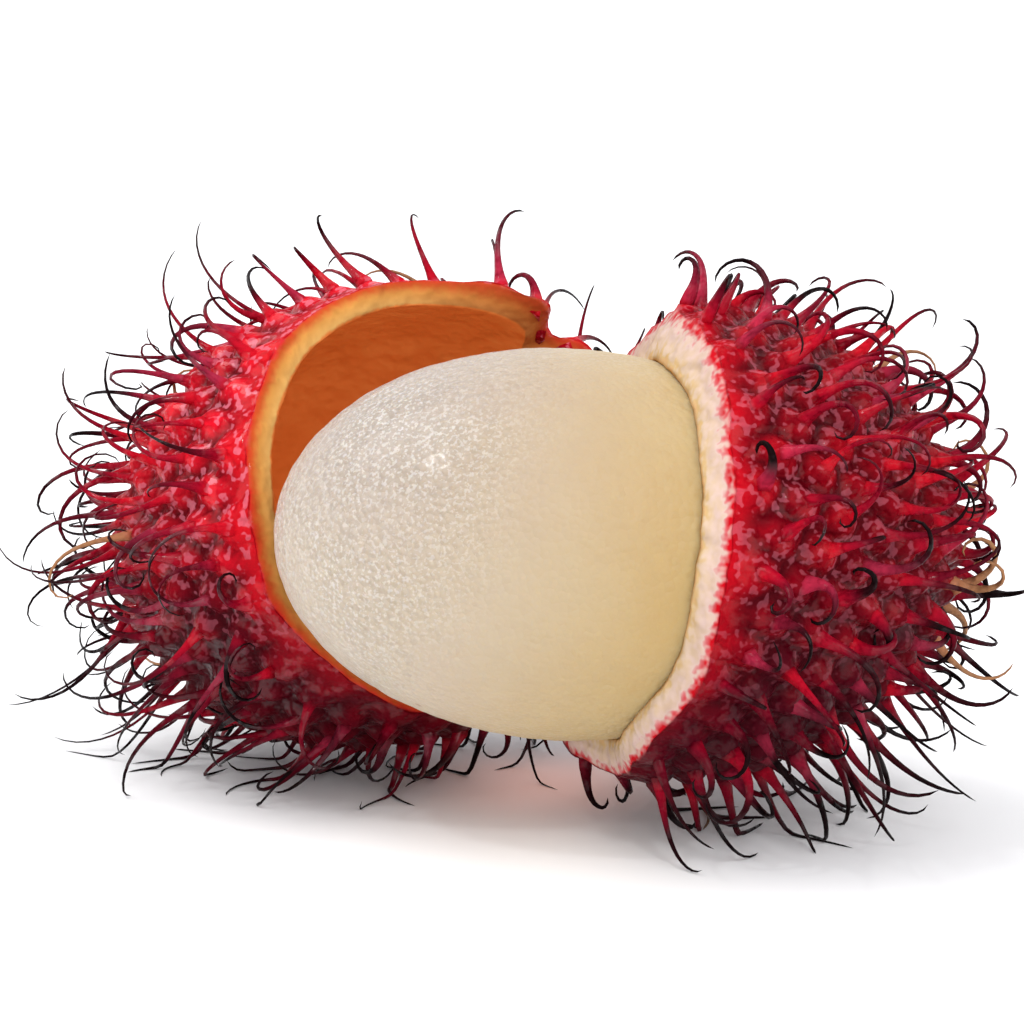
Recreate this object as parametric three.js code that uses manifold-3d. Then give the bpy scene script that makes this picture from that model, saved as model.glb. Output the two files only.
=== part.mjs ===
// A binjai rambutan, torn open round its waist on a table. The two rind cups carry soft curling
// spines, and the pale egg of flesh sits in the right cup and leans into the mouth of the left one.
// Millimetres, +Z up. The origin is on the table, at the middle of the whole fruit's footprint.
import * as THREE from "three";
import { mergeVertices } from "three/addons/utils/BufferGeometryUtils.js";
import Module from "manifold-3d";

const wasm = await Module();
wasm.setup();

// Driving dimensions. Azimuths turn from +X towards -Y, the viewer's side, and elevations are above
// the table. A dip of the torn edge is at an angle round the mouth, and a depth below 0 is a rise.
const WALL = 2.6;
const THICKEST_WALL = 4.8;
const FLESH_GAP = 0.42;
const FRUIT_RADIUS = 21.2;
const FRUIT_HALF_LENGTH = 28;
const LEFT_CUP = {
  name: "left_rind",
  seed: 3,
  centre: [-10.3, 18.6, 26.3],
  axis: { azimuth: 15.6, elevation: 22.2 },
  cut: { azimuth: 51.3, elevation: 21.8, beyondCentre: 4.8 },
  waves: [
    { lobes: 2, height: 0.45, from: 30 },
    { lobes: 5, height: 0.3, from: 75 },
    { lobes: 9, height: 0.16, from: 10 },
  ],
  dips: [
    { at: -132, spread: 24, depth: -5 },
    { at: -172, spread: 15, depth: -3.2 },
  ],
  spine: { shortest: 10, longest: 16, shaft: 0.36, root: 1.2, lean: 60, turnLeast: 85, turnMost: 310 },
  standsBehind: -0.2,
};
const RIGHT_CUP = {
  name: "right_rind",
  seed: 8,
  centre: [12.8, 1.3, 26.8],
  axis: { azimuth: 161.2, elevation: -0.3 },
  cut: { azimuth: 156.7, elevation: 12.5, beyondCentre: 3.6 },
  waves: [
    { lobes: 3, height: 0.4, from: 20 },
    { lobes: 5, height: 0.3, from: 120 },
    { lobes: 8, height: 0.18, from: 50 },
  ],
  dips: [
    { at: -42, spread: 34, depth: 3.6 },
    { at: 96, spread: 26, depth: 2.4 },
  ],
  spine: { shortest: 8.5, longest: 13, shaft: 0.43, root: 1.35, lean: 38, turnLeast: 120, turnMost: 300 },
  standsBehind: -1,
  holdsFlesh: true,
};
// The round scar where the fruit hung on its stalk, near the closed end of the right cup.
const STALK_SCAR = { azimuth: -24, elevation: 13, radius: 2.9, height: 1.2, clearOfSpines: 4.2 };
const FLESH = {
  name: "flesh",
  centre: [4.6, -1.3, 27.2],
  axis: { azimuth: 176.6, elevation: 4.1 },
  radius: 17.6,
  halfLength: 26,
};

// Spines grow on a golden-angle spiral. The solids carry every third one, at its true size, and
// besides those each one that reaches the table, because the fruit stands on them.
const SPINES_ROUND_FRUIT = 510;
const CARRIED_EVERY = 3;
const GOLDEN_ANGLE = Math.PI * (3 - Math.sqrt(5));
const RIM_MARGIN = 1.7;
const PATH_STEPS = 24;
const ROOT_DEPTH = 1.3;
const ROOT_FLARE = 1.5;
const SIDES = 3;
const RING_SHARES = [0.09, 0.26, 0.46, 0.67, 0.86];
const TIP_SHARE = 0.25;
const OWN_CLEARANCE = 0.8;
const NEIGHBOUR_CLEARANCE = 1.5;
const LARGEST_PUSH = 4;
const LEAST_GAP = 1.8;
const FOOT_SHARE = 0.55;
// How spines differ from one another. Angles are in degrees, and shares are of the cup's own values.
const LEAN_SHARES = [0.4, 1.3];
const LARGEST_SWAY = 42;
const SWAY_SHARE = 0.6;
const LARGEST_CURL = 150;
const TURN_POWER = 1.2;
const LATENESS = [0.6, 2.4];
const SHAFT_SHARES = [0.65, 1.15];
const TAPER_POWER = 1.3;
const CLEAR_FROM = 1 / 6;
const PICKS = { length: 1, lean: 2, sway: 3, curl: 4, turn: 5, shaft: 6, lateness: 11, standing: 12 };
const PICK_WAVE = { index: 12.9898, purpose: 78.233, size: 43758.5453 };
// Spines beside the torn edge are shorter than the rest and stand more upright.
const UPRIGHT_REACH = 9;
const UPRIGHT_SHARE = 0.25;
const SHORT_SHARE = 0.62;
// Some of the spines whose roots face down stand on the table: they are longer, point down and
// curl less. On the left cup, only those that face away from the viewer do so.
const UNDER = -0.3;
const STANDING_SHARE = 0.6;
const STANDING_TURN = 0.4;
const STANDING_LENGTH = 1.25;
const STANDING_DROP = 0.7;
const SETTLING_PASSES = 3;

const RIND_RINGS = { around: 32, along: 20 };
const FLESH_RINGS = { around: 30, along: 20 };
const SCAR_RINGS = { around: 10, along: 6 };
const EDGE_STEPS = 40;
const EDGE_RADIUS = 20;
const FAR = 120;
// The corners of a spine's triangle are this much further out than the round spine's skin.
const CORNER_SHARE = 1.3;
const SAME_POINT = 1e-5;

const COLOURS = { rind: 0xb3101c, flesh: 0xe6ddc4 };
const ROUGHNESS = { rind: 0.4, flesh: 0.25 };

const radians = THREE.MathUtils.degToRad;
const mix = THREE.MathUtils.lerp;
const vector = (xyz) => new THREE.Vector3(...xyz);

function direction({ azimuth, elevation }) {
  const a = radians(azimuth);
  const e = radians(elevation);
  return new THREE.Vector3(Math.cos(e) * Math.cos(a), -Math.cos(e) * Math.sin(a), Math.sin(e));
}

// A repeatable number from 0 to 1 for a spine and a purpose.
function chance(index, purpose) {
  const wave = Math.sin(index * PICK_WAVE.index + purpose * PICK_WAVE.purpose) * PICK_WAVE.size;
  return wave - Math.floor(wave);
}

// A spheroid: two short half axes of one radius, and a long one along its axis.
function spheroid(centre, axisAngles, radius, halfLength) {
  const axis = direction(axisAngles);
  const side = new THREE.Vector3().crossVectors(axis, new THREE.Vector3(0, 0, 1)).normalize();
  const over = new THREE.Vector3().crossVectors(axis, side);
  return { centre: vector(centre), side, over, axis, radius, halfLength };
}

function onSpheroid(body, unit) {
  return body.centre
    .clone()
    .addScaledVector(body.side, unit.x * body.radius)
    .addScaledVector(body.over, unit.y * body.radius)
    .addScaledVector(body.axis, unit.z * body.halfLength);
}

// How far a point is outside the spheroid, to first order, and the way out.
function outside(body, point) {
  const from = point.clone().sub(body.centre);
  const u = new THREE.Vector3(from.dot(body.side), from.dot(body.over), from.dot(body.axis));
  u.set(u.x / body.radius, u.y / body.radius, u.z / body.halfLength);
  const size = Math.max(u.length(), SAME_POINT);
  const normal = new THREE.Vector3()
    .addScaledVector(body.side, u.x / body.radius)
    .addScaledVector(body.over, u.y / body.radius)
    .addScaledVector(body.axis, u.z / body.halfLength);
  const slope = normal.length() / size;
  return { distance: (size - 1) / slope, normal: normal.normalize() };
}

// The torn edge waves and dips round the cut: how high it is at an angle, at the edge's own radius.
function edgeHeight(cup, angle) {
  let sum = 0;
  for (const { lobes, height, from } of cup.waves) sum += height * Math.cos(lobes * angle + radians(from));
  for (const { at, spread, depth } of cup.dips) {
    const away = angle - radians(at);
    const nearest = Math.atan2(Math.sin(away), Math.cos(away));
    sum -= depth * Math.exp(-((nearest / radians(spread)) ** 2));
  }
  return sum;
}

function cupOf(cup) {
  const outer = spheroid(cup.centre, cup.axis, FRUIT_RADIUS, FRUIT_HALF_LENGTH);
  const inner = spheroid(cup.centre, cup.axis, FRUIT_RADIUS - WALL, FRUIT_HALF_LENGTH - WALL);
  const ahead = direction(cup.cut);
  const side = new THREE.Vector3().crossVectors(ahead, new THREE.Vector3(0, 0, 1)).normalize();
  const over = new THREE.Vector3().crossVectors(ahead, side);
  const middle = outer.centre.clone().addScaledVector(ahead, cup.cut.beyondCentre);
  const pastCut = (p) => {
    const from = p.clone().sub(middle);
    const x = from.dot(side);
    const y = from.dot(over);
    return from.dot(ahead) - (edgeHeight(cup, Math.atan2(y, x)) * Math.hypot(x, y)) / EDGE_RADIUS;
  };
  return { ...cup, outer, inner, opening: { middle, ahead, side, over }, pastCut };
}

const DOWN = new THREE.Vector3(0, 0, -1);
const scarRay = direction(STALK_SCAR);

function scarPlace(cup) {
  const { outer } = cup;
  const across = new THREE.Vector3(scarRay.dot(outer.side), scarRay.dot(outer.over), 0);
  across.divideScalar(outer.radius);
  across.z = scarRay.dot(outer.axis) / outer.halfLength;
  const point = outer.centre.clone().addScaledVector(scarRay, 1 / across.length());
  return { point, normal: outside(outer, point).normal };
}

// One spine's centre line: it leans towards the closed end of the cup, and curls more and more.
function spineOf(cup, index, obstacles) {
  const along = 1 - (2 * (index + 0.5)) / SPINES_ROUND_FRUIT;
  const ring = Math.sqrt(1 - along * along);
  const turn = index * GOLDEN_ANGLE;
  const unit = new THREE.Vector3(ring * Math.cos(turn), ring * Math.sin(turn), along);
  const base = onSpheroid(cup.outer, unit);
  if (cup.pastCut(base) > -RIM_MARGIN) return null;
  if (cup.scar && base.distanceTo(cup.scar.point) < STALK_SCAR.clearOfSpines) return null;

  const key = index + cup.seed * 1000;
  const normal = outside(cup.outer, base).normal;
  const back = cup.outer.axis.clone().negate().projectOnPlane(normal);
  const reach = back.length();
  back.normalize();
  const across = new THREE.Vector3().crossVectors(normal, back);
  const rule = cup.spine;
  const pick = (purpose) => chance(key, purpose);
  const fromEdge = Math.min(1, -cup.pastCut(base) / UPRIGHT_REACH);
  const mayStand = normal.z < UNDER && normal.y > cup.standsBehind;
  const stands = mayStand && pick(PICKS.standing) < STANDING_SHARE;
  const lengthShare = mix(SHORT_SHARE, 1, fromEdge) * (stands ? STANDING_LENGTH : 1);
  const length = mix(rule.shortest, rule.longest, pick(PICKS.length)) * lengthShare;
  const leanShare = mix(...LEAN_SHARES, pick(PICKS.lean)) * mix(UPRIGHT_SHARE, 1, fromEdge);
  const lean = radians(rule.lean) * reach * leanShare;
  const sway = radians(mix(-LARGEST_SWAY, LARGEST_SWAY, pick(PICKS.sway)));
  const heading = normal
    .clone()
    .multiplyScalar(Math.cos(lean))
    .addScaledVector(back, Math.sin(lean) * Math.cos(sway))
    .addScaledVector(across, Math.sin(sway) * SWAY_SHARE)
    .addScaledVector(DOWN, stands ? STANDING_DROP : 0)
    .normalize();
  const curl = radians(mix(-LARGEST_CURL, LARGEST_CURL, pick(PICKS.curl)));
  const towards = back.clone().multiplyScalar(Math.cos(curl)).addScaledVector(across, Math.sin(curl));
  const hinge = new THREE.Vector3().crossVectors(heading, towards).normalize();
  const turned = radians(mix(rule.turnLeast, rule.turnMost, pick(PICKS.turn) ** TURN_POWER));
  const bend = turned * (stands ? STANDING_TURN : 1);
  const lateness = mix(...LATENESS, pick(PICKS.lateness));

  const points = [base.clone()];
  const step = length / PATH_STEPS;
  for (let i = 0; i < PATH_STEPS; i++) {
    const share = (i + 0.5) / PATH_STEPS;
    heading.applyAxisAngle(hinge, (bend * (lateness + 1) * share ** lateness) / PATH_STEPS);
    points.push(points[i].clone().addScaledVector(heading, step));
  }
  const shaft = rule.shaft * mix(...SHAFT_SHARES, pick(PICKS.shaft));
  const radius = (share) => {
    const flare = (rule.root - rule.shaft) * Math.exp((-share * length) / ROOT_FLARE);
    return shaft * mix(1, TIP_SHARE, share ** TAPER_POWER) + flare;
  };
  let pushed = 0;
  points.forEach((p, i) => {
    const share = i / PATH_STEPS;
    const own = outside(cup.outer, p);
    const wanted = OWN_CLEARANCE * Math.min(1, share / CLEAR_FROM);
    if (own.distance < wanted) p.addScaledVector(own.normal, wanted - own.distance);
    for (const { body, solidAt } of obstacles) {
      const near = outside(body, p);
      const short = NEIGHBOUR_CLEARANCE - near.distance;
      if (short > 0 && solidAt(p)) {
        pushed = Math.max(pushed, short);
        p.addScaledVector(near.normal, short);
      }
    }
  });
  if (pushed > LARGEST_PUSH) return null;
  const reachesTable = settle(points, radius);
  return { index, base, normal, length, points, radius, reachesTable };
}

// A spine that reaches the table bends along it, without a kink. Says whether it does reach it.
function settle(points, radius) {
  const lowest = (i) => radius(i / PATH_STEPS) * FOOT_SHARE;
  if (points.every((p, i) => p.z >= lowest(i))) return false;
  points.forEach((p, i) => (p.z = Math.max(p.z, lowest(i))));
  for (let pass = 0; pass < SETTLING_PASSES; pass++) {
    for (let i = 2; i < PATH_STEPS; i++) {
      const smooth = (points[i - 1].z + 2 * points[i].z + points[i + 1].z) / 4;
      points[i].z = Math.max(smooth, lowest(i));
    }
  }
  return true;
}

// Two spines of different cups that come closer than this would grow through each other.
function meet(a, b) {
  return a.points.some((p) => b.points.some((q) => p.distanceTo(q) < LEAST_GAP));
}

function solidFrom(geometry) {
  const bare = geometry.clone();
  bare.deleteAttribute("normal");
  bare.deleteAttribute("uv");
  const merged = mergeVertices(bare, SAME_POINT);
  return new wasm.Manifold(
    new wasm.Mesh({
      numProp: 3,
      vertProperties: merged.attributes.position.array,
      triVerts: new Uint32Array(merged.index.array),
    }),
  );
}

function meshFrom(solid, name, colour, roughness) {
  const { vertProperties, triVerts } = solid.getMesh();
  const geometry = new THREE.BufferGeometry();
  geometry.setAttribute("position", new THREE.BufferAttribute(new Float32Array(vertProperties), 3));
  geometry.setIndex(new THREE.BufferAttribute(new Uint32Array(triVerts), 1));
  geometry.computeVertexNormals();
  const material = new THREE.MeshStandardMaterial({ color: colour, roughness, metalness: 0 });
  const mesh = new THREE.Mesh(geometry, material);
  mesh.name = name;
  return mesh;
}

function spheroidGeometry(body, { around, along }) {
  const ball = new THREE.SphereGeometry(1, around, along);
  const place = new THREE.Matrix4().makeBasis(
    body.side.clone().multiplyScalar(body.radius),
    body.axis.clone().multiplyScalar(body.halfLength),
    body.over.clone().multiplyScalar(-body.radius),
  );
  return ball.applyMatrix4(place.setPosition(body.centre));
}

// All that was torn off a cup: a round block whose near face follows the edge's waves.
function tornAway(cup) {
  const { middle, ahead, side, over } = cup.opening;
  const block = new THREE.CylinderGeometry(FAR, FAR, FAR, EDGE_STEPS, 1).translate(0, FAR / 2, 0);
  const place = block.attributes.position;
  for (let i = 0; i < place.count; i++) {
    const x = place.getX(i);
    const y = -place.getZ(i);
    const reach = Math.hypot(x, y);
    if (place.getY(i) > FAR / 2 || reach < FAR / 2) continue;
    place.setY(i, (edgeHeight(cup, Math.atan2(y, x)) * reach) / EDGE_RADIUS);
  }
  const placed = new THREE.Matrix4().makeBasis(side, ahead, over.clone().negate());
  return block.applyMatrix4(placed.setPosition(middle));
}

// A spine as a closed tapering solid: a root sunk in the wall, rings along the curl, and a pointed tip.
function spineGeometry(spine) {
  const curve = new THREE.CatmullRomCurve3(spine.points);
  const root = spine.base.clone().addScaledVector(spine.normal, -ROOT_DEPTH);
  const station = (share) => ({ centre: curve.getPoint(share), ahead: curve.getTangent(share), share });
  const stations = [{ centre: root, ahead: spine.normal, share: 0 }, ...RING_SHARES.map(station)];
  const positions = [];
  const indices = [];
  let across = new THREE.Vector3(0.36, 0.48, 0.8);
  for (const { centre, ahead, share } of stations) {
    across = across.projectOnPlane(ahead).normalize();
    const up = new THREE.Vector3().crossVectors(ahead, across);
    const corner = spine.radius(share) * CORNER_SHARE;
    for (let k = 0; k < SIDES; k++) {
      const angle = (2 * Math.PI * k) / SIDES;
      const spoke = across.clone().multiplyScalar(Math.cos(angle)).addScaledVector(up, Math.sin(angle));
      positions.push(...centre.clone().addScaledVector(spoke, corner).toArray());
    }
  }
  positions.push(...spine.points[PATH_STEPS].toArray());
  const tip = stations.length * SIDES;
  for (let k = 1; k < SIDES - 1; k++) indices.push(0, k + 1, k);
  for (let s = 0; s < stations.length; s++) {
    for (let k = 0; k < SIDES; k++) {
      const a = s * SIDES + k;
      const b = s * SIDES + ((k + 1) % SIDES);
      if (s + 1 < stations.length) indices.push(a, b, b + SIDES, a, b + SIDES, a + SIDES);
      else indices.push(a, b, tip);
    }
  }
  const geometry = new THREE.BufferGeometry();
  geometry.setAttribute("position", new THREE.Float32BufferAttribute(positions, 3));
  geometry.setIndex(indices);
  return geometry;
}

// The scar is a low round button, half sunk in the skin.
function scarGeometry({ point, normal }) {
  const button = new THREE.SphereGeometry(1, SCAR_RINGS.around, SCAR_RINGS.along);
  button.scale(STALK_SCAR.radius, STALK_SCAR.height, STALK_SCAR.radius);
  const turn = new THREE.Quaternion().setFromUnitVectors(new THREE.Vector3(0, 1, 0), normal);
  return button.applyQuaternion(turn).translate(...point.toArray());
}

// A cup is hollow to its lining. The one that holds the flesh swells inwards to the flesh's own
// print, but its wall is nowhere thicker than a rind is.
function hollowOf(cup) {
  const lining = solidFrom(spheroidGeometry(cup.inner, RIND_RINGS));
  if (!cup.holdsFlesh) return lining;
  const grown = (body, by) => ({ ...body, radius: body.radius + by, halfLength: body.halfLength + by });
  const print = solidFrom(spheroidGeometry(grown(flesh, FLESH_GAP), RIND_RINGS));
  const deepest = solidFrom(spheroidGeometry(grown(cup.outer, -THICKEST_WALL), RIND_RINGS));
  return lining.intersect(print).add(deepest);
}

function rindSolid(cup, spines, extras = []) {
  const wall = solidFrom(spheroidGeometry(cup.outer, RIND_RINGS))
    .subtract(hollowOf(cup))
    .subtract(solidFrom(tornAway(cup)));
  const table = solidFrom(new THREE.BoxGeometry(FAR, FAR, FAR).translate(0, 0, -FAR / 2));
  const grown = [...extras, ...spines.map(spineGeometry)].map(solidFrom);
  return grown.reduce((rind, piece) => rind.add(piece), wall).subtract(table);
}

const flesh = spheroid(FLESH.centre, FLESH.axis, FLESH.radius, FLESH.halfLength);
const left = cupOf(LEFT_CUP);
const right = cupOf(RIGHT_CUP);
right.scar = scarPlace(right);
const always = () => true;
const wallOf = (cup) => ({ body: cup.outer, solidAt: (p) => cup.pastCut(p) < NEIGHBOUR_CLEARANCE });

function spinesOf(cup, other, taken) {
  const obstacles = [{ body: flesh, solidAt: always }, wallOf(other)];
  const all = Array.from({ length: SPINES_ROUND_FRUIT }, (_, i) => spineOf(cup, i, obstacles));
  return all.filter((spine) => spine && !taken.some((there) => meet(spine, there)));
}

const rightSpines = spinesOf(right, left, []);
const leftSpines = spinesOf(left, right, rightSpines);
const isCarried = ({ index, reachesTable }) => index % CARRIED_EVERY === 0 || reachesTable;

const fruit = new THREE.Group();
const leftRind = rindSolid(left, leftSpines.filter(isCarried));
const rightRind = rindSolid(right, rightSpines.filter(isCarried), [scarGeometry(right.scar)]);
const egg = solidFrom(spheroidGeometry(flesh, FLESH_RINGS));
fruit.add(
  meshFrom(leftRind, LEFT_CUP.name, COLOURS.rind, ROUGHNESS.rind),
  meshFrom(rightRind, RIGHT_CUP.name, COLOURS.rind, ROUGHNESS.rind),
  meshFrom(egg, FLESH.name, COLOURS.flesh, ROUGHNESS.flesh),
);

// The layout above is about the fruit's own middle, so the whole is moved over its footprint's middle.
const middle = new THREE.Box3().setFromObject(fruit).getCenter(new THREE.Vector3());
fruit.position.set(-middle.x, -middle.y, 0);

export default fruit;
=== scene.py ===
"""A binjai rambutan, torn open round its waist and laid on a table: two spiny cups and the pale flesh."""
import math
from types import SimpleNamespace

import bpy
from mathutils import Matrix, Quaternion, Vector, kdtree, noise


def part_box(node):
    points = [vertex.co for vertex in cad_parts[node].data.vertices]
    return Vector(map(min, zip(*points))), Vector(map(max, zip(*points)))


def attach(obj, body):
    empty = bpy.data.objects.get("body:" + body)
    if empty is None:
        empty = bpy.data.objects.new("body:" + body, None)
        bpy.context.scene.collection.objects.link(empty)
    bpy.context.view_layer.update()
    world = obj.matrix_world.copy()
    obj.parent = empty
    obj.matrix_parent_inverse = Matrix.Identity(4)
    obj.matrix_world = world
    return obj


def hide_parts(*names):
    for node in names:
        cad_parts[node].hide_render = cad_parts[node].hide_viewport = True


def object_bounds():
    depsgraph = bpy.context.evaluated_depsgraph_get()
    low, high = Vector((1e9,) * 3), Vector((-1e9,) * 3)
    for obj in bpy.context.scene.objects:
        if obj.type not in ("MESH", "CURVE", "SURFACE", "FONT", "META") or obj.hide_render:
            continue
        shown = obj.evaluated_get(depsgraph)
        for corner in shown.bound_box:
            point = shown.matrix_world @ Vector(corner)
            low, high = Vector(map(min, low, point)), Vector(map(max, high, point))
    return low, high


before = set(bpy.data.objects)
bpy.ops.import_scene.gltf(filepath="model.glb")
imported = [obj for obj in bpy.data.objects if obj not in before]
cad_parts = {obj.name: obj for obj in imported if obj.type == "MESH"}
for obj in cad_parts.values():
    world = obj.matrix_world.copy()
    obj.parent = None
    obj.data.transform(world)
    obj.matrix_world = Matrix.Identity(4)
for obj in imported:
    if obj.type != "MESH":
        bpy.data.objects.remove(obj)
cad_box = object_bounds()
bpy.ops.object.select_all(action="DESELECT")


# The left cup is the deeper part of the rind: a soft leathery wall, red outside and orange inside, grown
# in one with long slender spines that sweep back from the torn edge. It lies on the lowest of them.
# Lengths are in millimetres about the fruit's own middle until a mesh is put in its place.
MM = 0.001
WALL = 2.6
FRUIT_RADIUS = 21.2
FRUIT_HALF_LENGTH = 28
FLESH_CENTRE = Vector((4.6, -1.3, 27.2))
flesh_low, flesh_high = (Vector(corner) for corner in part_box("flesh"))
shift = (flesh_low + flesh_high) / 2 / MM - FLESH_CENTRE
shift.z = 0


def in_place(point):
    return (point + shift) * MM


def pointing(azimuth, elevation):
    a = math.radians(azimuth)
    e = math.radians(elevation)
    return Vector((math.cos(e) * math.cos(a), -math.cos(e) * math.sin(a), math.sin(e)))


def spheroid(centre, axis_angles, radius, half_length):
    axis = pointing(*axis_angles)
    side = axis.cross(Vector((0, 0, 1))).normalized()
    return SimpleNamespace(
        centre=Vector(centre),
        side=side,
        over=axis.cross(side),
        axis=axis,
        radius=radius,
        half_length=half_length,
    )


def in_unit_ball(body, step):
    x = step.dot(body.side) / body.radius
    y = step.dot(body.over) / body.radius
    return Vector((x, y, step.dot(body.axis) / body.half_length))


def outside(body, point):
    """How far a point is outside the spheroid, to first order, and the way out."""
    u = in_unit_ball(body, point - body.centre)
    size = max(u.length, 1e-6)
    way = body.side * (u.x / body.radius) + body.over * (u.y / body.radius)
    way += body.axis * (u.z / body.half_length)
    slope = way.length / size
    return (size - 1) / slope, way.normalized()


def reach_of(body, start, heading):
    """How far it is from a point inside the spheroid to its surface."""
    q = in_unit_ball(body, start - body.centre)
    w = in_unit_ball(body, heading)
    half = q.dot(w)
    return (-half + math.sqrt(half * half - w.dot(w) * (q.dot(q) - 1))) / w.dot(w)


def edge_height(cup, angle):
    """The torn edge waves and dips round the mouth: its height at an angle, at the edge's own radius."""
    height = sum(size * math.cos(lobes * angle + math.radians(start)) for lobes, size, start in cup.waves)
    for at, spread, depth in cup.dips:
        away = angle - math.radians(at)
        nearest = math.atan2(math.sin(away), math.cos(away))
        height -= depth * math.exp(-((nearest / math.radians(spread)) ** 2))
    return height


EDGE_RADIUS = 20


def rind_cup(name, seed, centre, axis, mouth, past_centre, **rules):
    """A dip is at an angle round the mouth, so wide and so deep, and a depth below 0 is a rise."""
    cup = SimpleNamespace(name=name, seed=seed, scar=None, print=None, **rules)
    cup.outer = spheroid(centre, axis, FRUIT_RADIUS, FRUIT_HALF_LENGTH)
    cup.inner = spheroid(centre, axis, FRUIT_RADIUS - WALL, FRUIT_HALF_LENGTH - WALL)
    cup.ahead = pointing(*mouth)
    cup.side = cup.ahead.cross(Vector((0, 0, 1))).normalized()
    cup.over = cup.ahead.cross(cup.side)
    cup.middle = cup.outer.centre + cup.ahead * past_centre
    return cup


def past_edge(cup, point):
    step = point - cup.middle
    x = step.dot(cup.side)
    y = step.dot(cup.over)
    return step.dot(cup.ahead) - edge_height(cup, math.atan2(y, x)) * math.hypot(x, y) / EDGE_RADIUS


left = rind_cup(
    "left_rind", 3, (-10.3, 18.6, 26.3), (15.6, 22.2), (51.3, 21.8), 4.8,
    waves=((2, 0.45, 30), (5, 0.3, 75), (9, 0.16, 10)),
    dips=((-132, 24, -5), (-172, 15, -3.2)),
    spine=SimpleNamespace(
        shortest=10, longest=16, shaft=0.36, root=1.2, lean=60, turn_least=85, turn_most=310
    ),
    stands_behind=-0.2,
    edge_root=0.95,
    slender=0.84,
)
RIGHT_AXIS = (161.2, -0.3)
right = rind_cup(
    "right_rind", 8, (12.8, 1.3, 26.8), RIGHT_AXIS, (156.7, 12.5), 3.6,
    waves=((3, 0.4, 20), (5, 0.3, 120), (8, 0.18, 50)),
    dips=((-42, 34, 3.6), (96, 26, 2.4)),
    spine=SimpleNamespace(
        shortest=8.5, longest=13, shaft=0.43, root=1.35, lean=38, turn_least=120, turn_most=300
    ),
    stands_behind=-1,
    edge_root=0.5,
    slender=0.92,
)
FLESH_AXIS = (176.6, 4.1)
FLESH_RADIUS = 17.6
FLESH_HALF_LENGTH = 26
FLESH_GAP = 0.12
THICKEST_WALL = 4.8
flesh_body = spheroid(FLESH_CENTRE, FLESH_AXIS, FLESH_RADIUS, FLESH_HALF_LENGTH)
right.print = spheroid(FLESH_CENTRE, FLESH_AXIS, FLESH_RADIUS + FLESH_GAP, FLESH_HALF_LENGTH + FLESH_GAP)
right.deepest = spheroid(
    right.outer.centre, RIGHT_AXIS, FRUIT_RADIUS - THICKEST_WALL, FRUIT_HALF_LENGTH - THICKEST_WALL
)

# The round scar of the stalk is near the right cup's closed end, and no spine grows on it.
SCAR_RADIUS = 2.9
SCAR_HEIGHT = 1.2
SCAR_CLEARING = 4.2
scar_ray = pointing(-24, 13)
right.scar = right.outer.centre + scar_ray * reach_of(right.outer, right.outer.centre, scar_ray)

# How spines grow and how they differ from one another. Shares are of the cup's own values.
SPINES_ROUND_FRUIT = 510
GOLDEN_ANGLE = math.pi * (3 - math.sqrt(5))
RIM_MARGIN = 1.7
PATH_STEPS = 24
ROOT_DEPTH = 1.3
ROOT_FLARE = 1.5
TIP_SHARE = 0.25
OWN_CLEARANCE = 0.8
NEIGHBOUR_CLEARANCE = 1.5
LARGEST_PUSH = 4
LEAST_GAP = 1.8
FOOT_SHARE = 0.55
UPRIGHT_REACH = 9
UPRIGHT_SHARE = 0.25
SHORT_SHARE = 0.62
UNDER = -0.3
STANDING_SHARE = 0.6
STANDING_TURN = 0.4
STANDING_LENGTH = 1.25
STANDING_DROP = 0.7
SETTLING_PASSES = 3
LEAN_SHARES = (0.4, 1.3)
LARGEST_SWAY = 42
SWAY_SHARE = 0.6
LARGEST_CURL = 150
TURN_POWER = 1.2
LATENESS = (0.6, 2.4)
SHAFT_SHARES = (0.65, 1.15)
TAPER_POWER = 1.3
CLEAR_BY = 6
DRIEST = 0.38
FURTHEST_OUT = 0.0012
DOWN = Vector((0, 0, -1))


def mix(low, high, share):
    return low + (high - low) * share


def smooth_step(low, high, value):
    t = min(1, max(0, (value - low) / (high - low)))
    return t * t * (3 - 2 * t)


def chance(index, purpose):
    """A repeatable number from 0 to 1 for a spine and a purpose."""
    wave = math.sin(index * 12.9898 + purpose * 78.233) * 43758.5453
    return wave - math.floor(wave)


def settle(points, thickness):
    """A spine that reaches the table bends along it, without a kink."""
    lowest = [thickness(step / PATH_STEPS) * FOOT_SHARE for step in range(PATH_STEPS + 1)]
    if all(point.z >= low for point, low in zip(points, lowest)):
        return
    for point, low in zip(points, lowest):
        point.z = max(point.z, low)
    for _ in range(SETTLING_PASSES):
        for step in range(2, PATH_STEPS):
            smooth = (points[step - 1].z + 2 * points[step].z + points[step + 1].z) / 4
            points[step].z = max(smooth, lowest[step])


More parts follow.
